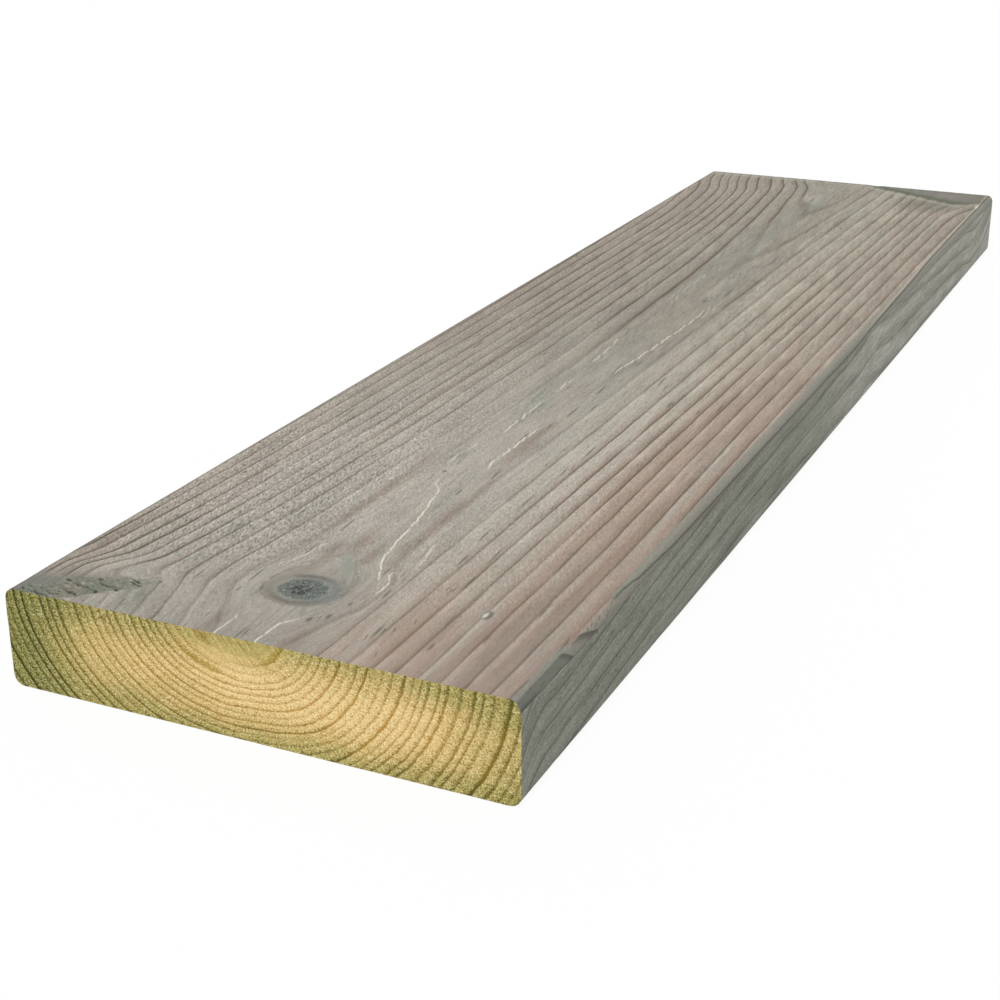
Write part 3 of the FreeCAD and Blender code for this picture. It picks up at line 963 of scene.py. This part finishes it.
def endRings(tree, dy, dz, right):
    # how dark the rings are at a place, from its offset from the pith
    angle = tree.maths("ARCTAN2", dy, -dz) * (180 / math.pi)
    reach = root(dy * dy + dz * dz)
    rings, depths = [], []
    for name in ("leftRings", "rightRings"):
        near = reach
        if name == "rightRings":
            near = reach * (1 + smooth(angle, -42, -6) * 0.085)
        rings.append(follow(near, [(place, i) for i, (place, depth) in enumerate(sawn[name])]))
    ring = blend(*rings, right)
    line = whole(ring)
    for name in ("leftRings", "rightRings"):
        depths.append(follow(line, [(i, depth) for i, (place, depth) in enumerate(sawn[name])]))
    off = ring - line
    outside = smooth(off, 0.2, 0.06)
    shape = smooth(off, -0.26, -0.02) * 0.75 + smooth(off, -0.75, -0.1) * 0.25
    return shape * outside * (blend(*depths, right) * 0.85 + 0.15), reach, angle


def sawnEnds():
    material, tree = newMaterial("sawnEnds")
    x, y, z = places(tree)
    y = blend(y, y * -1 + 4, above(x, 100))
    wobble = tree.noise(y / 9, z / 9, 1.5, 2) - 0.5
    ragged = (tree.noise(y / 1.3, z / 1.3, 8.5, 3, 0.7) - 0.5) * 0.55
    dy = y - sawn["pith"][0] + wobble * 1.2 + ragged
    dz = (z - sawn["pith"][1]) * sawn["stretch"] + wobble * 1.2 + ragged
    right = smooth(dy, 2.5, -2.5)
    dy = dy * blend(1, sawn["rightShare"], right)
    dark, reach, angle = endRings(tree, dy, dz, right)

    # a pale heart and greener edges, each tone with the deeper one of its shadows
    green = blend(follow(z, greening["up"]), 1, follow(y, greening["across"]))
    green += (tree.noise(y / 11, z / 7, 6.5, 3) - 0.5) * 0.4
    colour, deep = cut["heart"], cut["heartDeep"]
    for paler, darker, start, end in (("gold", "goldDeep", 0.0, 0.3), ("olive", "oliveDeep", 0.25, 0.65),
                                      ("deepOlive", "darkDeep", 0.6, 1.0)):
        share = smooth(green, start, end)
        colour, deep = tinted(colour, cut[paler], share), tinted(deep, cut[darker], share)
    colour = tinted(colour, cut["olive"], smooth(reach, 15, 8) * 0.3)
    for place, wide, turn, arc in sawn["stains"]:
        at = tree.point(reach, angle)
        colour = tinted(colour, cut["stain"], patch(at, (place, turn), (wide, arc), 0.4) * 0.75)

    # open pores, torn fibre and the strokes of the saw
    grit = tree.noise(y / 0.5, z / 0.5, 2.9, 2, 0.75) - 0.5
    coarse = tree.noise(y / 1.6, z / 1.1, 5.1, 3, 0.65) - 0.5
    saw = tree.noise((z - y * 1.4) / 0.7, (y + z) / 9, 3.6, 2) - 0.5
    sawField = smooth(reach, 24, 8)
    rays = tree.noise(angle / 1.3, reach / 9, 1.9, 2) - 0.5
    rough = (grit * 1.9 + coarse * 0.55) * (1 - sawField * 0.7) + saw * sawField * 1.2 + rays * 0.3
    amount = blend(0.85, 1, smooth(green, 0.2, 0.8))
    pits = smooth(rough, 0.05, 0.28) * blend(0.62, 0.8, smooth(green, 0, 1))
    bruised = patches(tree.point(y, z), sawn["bruises"], 0.1) * smooth(coarse, -0.1, 0.1)
    colour = tinted(colour, cut["bruise"], bruised * 0.7)
    colour = tinted(colour, deep, lesser(dark * amount + pits, 0.95))
    colour = tinted(colour, cut["fleck"], smooth(rough, -0.06, -0.28) * blend(0.9, 0.5, green)
                    * (1 - dark * 0.9))
    height = coarse * -0.15 - grit * 0.45 + saw * sawField * 0.1
    finishSurface(tree, colour, 0.85 + grit * 0.2, height)
    return material


piece = makeBoard(weatheredFaces(), sawnEnds())
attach(piece, "root")
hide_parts("board")
print("board made")


# Plain white studio: the floor and the world show white to the camera only.
studio = {
    "floorReach": 4.0, "floorPale": tone(255, 255, 255), "floorForLight": tone(178, 178, 176),
    "floorGlow": 0.93, "skyLight": 0.45,
    "keyFrom": (-0.50, -0.12, 0.48), "keyShare": 1.0, "keySpread": 28,
    "fillFrom": (0.15, 0.12, 0.08), "fillShare": 1.0, "fillSpread": 60,
}


def seenDirectly(tree):
    # 1 for what the camera, a reflection or a glass shows, 0 for light on its way
    path = [tree.node("ShaderNodeLightPath", None, None, name)
            for name in ("Is Camera Ray", "Is Glossy Ray", "Is Transmission Ray")]
    return greater(greater(path[0], path[1]), path[2])


def makeFloor():
    side = studio["floorReach"]
    mesh = bpy.data.meshes.new("studioFloor")
    corners = [(-side, -side, 0), (side, -side, 0), (side, side, 0), (-side, side, 0)]
    mesh.from_pydata([(px, py, -0.0001) for px, py, pz in corners], [], [(0, 1, 2, 3)])
    floor = bpy.data.objects.new("studioFloor", mesh)
    bpy.context.scene.collection.objects.link(floor)
    material, tree = newMaterial("studioFloor")
    seen = seenDirectly(tree)
    lit = tree.node("ShaderNodeBsdfDiffuse", None, {
        "Color": tinted(studio["floorForLight"], studio["floorPale"], seen)})
    glow = tree.node("ShaderNodeEmission", None, {"Color": (1, 1, 1, 1), "Strength": 1.0})
    mixed = tree.node("ShaderNodeMixShader", None, {0: seen * studio["floorGlow"], 1: lit, 2: glow})
    output = tree.nodeTree.nodes.new("ShaderNodeOutputMaterial")
    tree.nodeTree.links.new(mixed.socket, output.inputs["Surface"])
    mesh.materials.append(material)


def makeSky():
    world = bpy.data.worlds.new("studioSky")
    world.use_nodes = True
    world.node_tree.nodes.clear()
    tree = Tree(world.node_tree)
    strength = blend(studio["skyLight"], 1, seenDirectly(tree))
    sky = tree.node("ShaderNodeBackground", None, {"Color": (1, 1, 1, 1), "Strength": strength})
    output = world.node_tree.nodes.new("ShaderNodeOutputWorld")
    world.node_tree.links.new(sky.socket, output.inputs["Surface"])
    bpy.context.scene.world = world


def makeSun(name, towards, share, spread):
    # the vector's parts are the light that faces turned along x, y and z take from it
    direction = Vector(towards)
    light = bpy.data.lights.new(name, "SUN")
    light.energy = math.pi * direction.length * share
    light.angle = math.radians(spread)
    lamp = bpy.data.objects.new(name, light)
    lamp.rotation_mode = "QUATERNION"
    lamp.rotation_quaternion = direction.to_track_quat("Z", "Y")
    bpy.context.scene.collection.objects.link(lamp)


view = {
    "from": (-0.59789638, -0.21545643, 0.21964862),     # metres
    "turned": (67.68178, 0.16011, -65.07651),           # degrees
    "lens": 63.7568, "film": 36.0,
}


def makeCamera():
    camera = bpy.data.cameras.new("studioCamera")
    camera.lens, camera.sensor_width = view["lens"], view["film"]
    camera.clip_start, camera.clip_end = 0.01, 50
    holder = bpy.data.objects.new("studioCamera", camera)
    holder.location = view["from"]
    holder.rotation_euler = [math.radians(angle) for angle in view["turned"]]
    bpy.context.scene.collection.objects.link(holder)
    bpy.context.scene.camera = holder


makeFloor()
makeSky()
makeSun("keyLight", studio["keyFrom"], studio["keyShare"], studio["keySpread"])
makeSun("fillLight", studio["fillFrom"], studio["fillShare"], studio["fillSpread"])
makeCamera()
bpy.context.scene.view_settings.view_transform = "Standard"
print("studio made")
